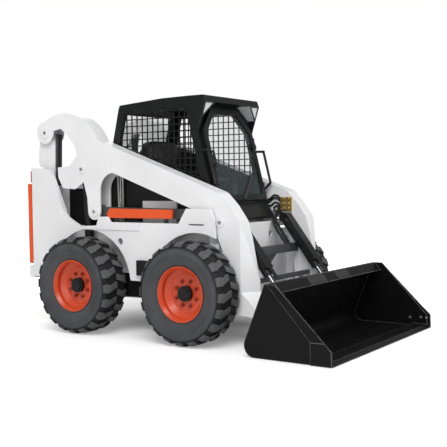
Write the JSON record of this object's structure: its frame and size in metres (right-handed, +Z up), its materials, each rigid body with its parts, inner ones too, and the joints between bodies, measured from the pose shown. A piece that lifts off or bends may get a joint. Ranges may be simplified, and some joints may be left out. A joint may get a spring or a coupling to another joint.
{
  "type": "skid steer loader",
  "caption": "Compact skid steer loader: vertical lift arms on links, enclosed cab with tilting frame and front door, quick coupler with dirt bucket, lugged tyres on dished rims.",
  "frame": {"origin": "middle of the bounding box at ground level", "axes": "+X forward (bucket), +Y to the machine's left, +Z up"},
  "size_m": [3.24, 1.884, 1.988],
  "materials": {
    "white_paint": "satin white enamel",
    "black_paint": "black enamel",
    "engine_grey": "painted casting",
    "black_plastic": "moulded plastic",
    "red_lens": "lamp lens",
    "grey_paint": "dark grey enamel",
    "rod_chrome": "hard chrome",
    "orange_paint": "orange red enamel",
    "rim_orange": "orange red enamel",
    "bucket_black": "black enamel, worn inside",
    "cab_black": "textured black enamel",
    "clear_glass": "laminated glass",
    "seat_vinyl": "black vinyl",
    "lamp_lens": "clear lens over reflector",
    "tyre": "lugged rubber",
    "hose_rubber": "hydraulic hose",
    "zinc_yellow": "yellow zinc plate"
  },
  "bodies": {
    "chassis": {"main_frame": "white_paint", "side_panel_right": "white_paint", "side_panel_left": "white_paint", "axle_tubes": "black_paint", "engine_block": "engine_grey", "control_levers": "black_plastic", "tail_lamps": "red_lens", "lift_support": "orange_paint", "chain_guards": "black_paint"},
    "control_links": {"control_links": "grey_paint"},
    "rear_links": {"rear_links": "white_paint", "link_hoses": "hose_rubber"},
    "lift_barrels": {"lift_barrels": "black_paint"},
    "lift_rods": {"lift_rods": "rod_chrome"},
    "lift_arms": {"lift_arm_right": "white_paint", "lift_arm_left": "white_paint", "arm_cross": "grey_paint", "aux_couplers": "zinc_yellow"},
    "tilt_barrels": {"tilt_barrels": "black_paint"},
    "tilt_rods": {"tilt_rods": "rod_chrome"},
    "bucket": {"quick_coupler": "grey_paint", "bucket": "bucket_black"},
    "cab": {"cab_frame": "cab_black", "side_screens": "cab_black", "rear_window": "clear_glass", "seat": "seat_vinyl", "work_lamps": "lamp_lens"},
    "seat_bar": {"seat_bar": "grey_paint"},
    "front_door": {"door_frame": "cab_black", "door_glass": "clear_glass"},
    "rear_door": {"rear_door": "orange_paint"},
    "engine_cover": {"engine_cover": "grey_paint"},
    "wheel_front_right": {"tyre_front_right": "tyre", "rim_front_right": "rim_orange", "hub_front_right": "black_paint"},
    "wheel_front_left": {"tyre_front_left": "tyre", "rim_front_left": "rim_orange", "hub_front_left": "black_paint"},
    "wheel_rear_right": {"tyre_rear_right": "tyre", "rim_rear_right": "rim_orange", "hub_rear_right": "black_paint"},
    "wheel_rear_left": {"tyre_rear_left": "tyre", "rim_rear_left": "rim_orange", "hub_rear_left": "black_paint"}
  },
  "joints": [
    {"name": "front_right_wheel", "type": "hinge", "parent": "chassis", "child": "wheel_front_right", "pos_m": [0.28, -0.76, 0.41], "axis": [0, 1, 0], "continuous": true},
    {"name": "front_left_wheel", "type": "hinge", "parent": "chassis", "child": "wheel_front_left", "pos_m": [0.28, 0.76, 0.41], "axis": [0, 1, 0], "continuous": true},
    {"name": "rear_right_wheel", "type": "hinge", "parent": "chassis", "child": "wheel_rear_right", "pos_m": [-0.86, -0.76, 0.41], "axis": [0, 1, 0], "continuous": true},
    {"name": "rear_left_wheel", "type": "hinge", "parent": "chassis", "child": "wheel_rear_left", "pos_m": [-0.86, 0.76, 0.41], "axis": [0, 1, 0], "continuous": true},
    {"name": "lift", "type": "hinge", "parent": "chassis", "child": "control_links", "pos_m": [0.19, 0, 1.016], "axis": [0, 1, 0], "range_deg": [0, 58.37]},
    {"name": "lift_arm", "type": "hinge", "parent": "control_links", "child": "lift_arms", "pos_m": [-0.84, 0, 1.03], "axis": [0, -1, 0], "range_deg": [0, 121.23]},
    {"name": "rear_link", "type": "hinge", "parent": "chassis", "child": "rear_links", "pos_m": [-1.41, 0, 1.15], "axis": [0, 1, 0], "range_deg": [0, 19]},
    {"name": "lift_barrel", "type": "hinge", "parent": "chassis", "child": "lift_barrels", "pos_m": [-0.96, 0, 0.62], "axis": [0, 1, 0], "range_deg": [0, 11.39]},
    {"name": "lift_rod", "type": "slide", "parent": "lift_barrels", "child": "lift_rods", "axis": [-0.0282, 0, 0.9996], "range_m": [0, 0.56213]},
    {"name": "bucket_tilt", "type": "hinge", "parent": "lift_arms", "child": "bucket", "pos_m": [0.87, 0, 0.215], "axis": [0, 1, 0], "range_deg": [-30, 105]},
    {"name": "tilt_barrel", "type": "hinge", "parent": "lift_arms", "child": "tilt_barrels", "pos_m": [0.48, 0, 0.96], "axis": [0, 1, 0], "range_deg": [-0.224, 0.759]},
    {"name": "tilt_rod", "type": "slide", "parent": "tilt_barrels", "child": "tilt_rods", "axis": [0.6024, 0, -0.7982], "range_m": [-0.09773, 0.34154]},
    {"name": "cab_tilt", "type": "hinge", "parent": "chassis", "child": "cab", "pos_m": [-0.75, 0, 1.36], "axis": [0, 1, 0], "range_deg": [-45, 0]},
    {"name": "front_door", "type": "hinge", "parent": "cab", "child": "front_door", "pos_m": [0.23443, 0.386, 1.39108], "axis": [-0.2487, 0, 0.9686], "range_deg": [0, 88]},
    {"name": "rear_door", "type": "hinge", "parent": "chassis", "child": "rear_door", "pos_m": [-1.595, 0.656, 0.9], "axis": [0, 0, -1], "range_deg": [0, 100]},
    {"name": "engine_cover", "type": "hinge", "parent": "chassis", "child": "engine_cover", "pos_m": [-0.846, 0, 1.2985], "axis": [0, 1, 0], "range_deg": [0, 60]},
    {"name": "seat_bar", "type": "hinge", "parent": "cab", "child": "seat_bar", "pos_m": [-0.58, 0, 1.4], "axis": [0, -1, 0], "range_deg": [0, 75]}
  ],
  "couplings": [
    {"joint": "lift_arm", "follows": "lift", "ratio": 2.0768},
    {"joint": "rear_link", "follows": "lift", "ratio": 0.32541},
    {"joint": "lift_barrel", "follows": "lift", "ratio": 0.195},
    {"joint": "lift_rod", "follows": "lift", "m_per_rad": 0.55162},
    {"joint": "tilt_barrel", "follows": "bucket_tilt", "ratio": 0.007134},
    {"joint": "tilt_rod", "follows": "bucket_tilt", "m_per_rad": 0.18626}
  ]
}
